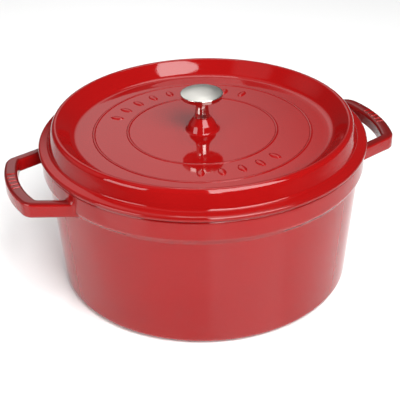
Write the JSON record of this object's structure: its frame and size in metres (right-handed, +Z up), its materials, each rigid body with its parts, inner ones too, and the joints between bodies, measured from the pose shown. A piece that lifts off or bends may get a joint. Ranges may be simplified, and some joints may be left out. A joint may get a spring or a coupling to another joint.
{
  "type": "cast iron dutch oven",
  "caption": "Round enamelled cast iron cooking pot with two cast loop handles and a lift-off domed-edge lid with a screwed metal knob.",
  "frame": {"origin": "middle of the base, on the plane of the foot ring", "axes": "+Z up along the pot's axis, X through both loop handles"},
  "size_m": [0.36, 0.2946, 0.178],
  "materials": {
    "red_enamel": "glossy vitreous enamel",
    "black_enamel": "matte black vitreous enamel with a fine texture",
    "cast_iron": "bare ground grey iron",
    "nickel": "satin polished nickel plate",
    "stainless": "plain stainless steel"
  },
  "bodies": {
    "pot": {"pot_casting": "cast_iron", "pot_outer_enamel": "red_enamel", "pot_inner_enamel": "black_enamel"},
    "lid": {"lid_casting": "cast_iron", "lid_outer_enamel": "red_enamel", "lid_inner_enamel": "black_enamel", "basting_spikes": "black_enamel", "flat_washer": "stainless", "lock_washer": "stainless"},
    "screw": {"knob_screw": "stainless"},
    "knob": {"knob": "nickel"}
  },
  "joints": [
    {"name": "lid_lift", "type": "slide", "parent": "pot", "child": "lid", "axis": [0, 0, 1], "range_m": [0, 0.15]},
    {"name": "screw_turn", "type": "hinge", "parent": "lid", "child": "screw", "pos_m": [0, 0, 0.14], "axis": [0, 0, -1], "range_deg": [0, 3610]},
    {"name": "knob_rise", "type": "slide", "parent": "lid", "child": "knob", "axis": [0, 0, 1], "range_m": [0, 0.01]}
  ],
  "couplings": [
    {"joint": "screw_turn", "follows": "knob_rise", "rad_per_m": 6283.2}
  ]
}
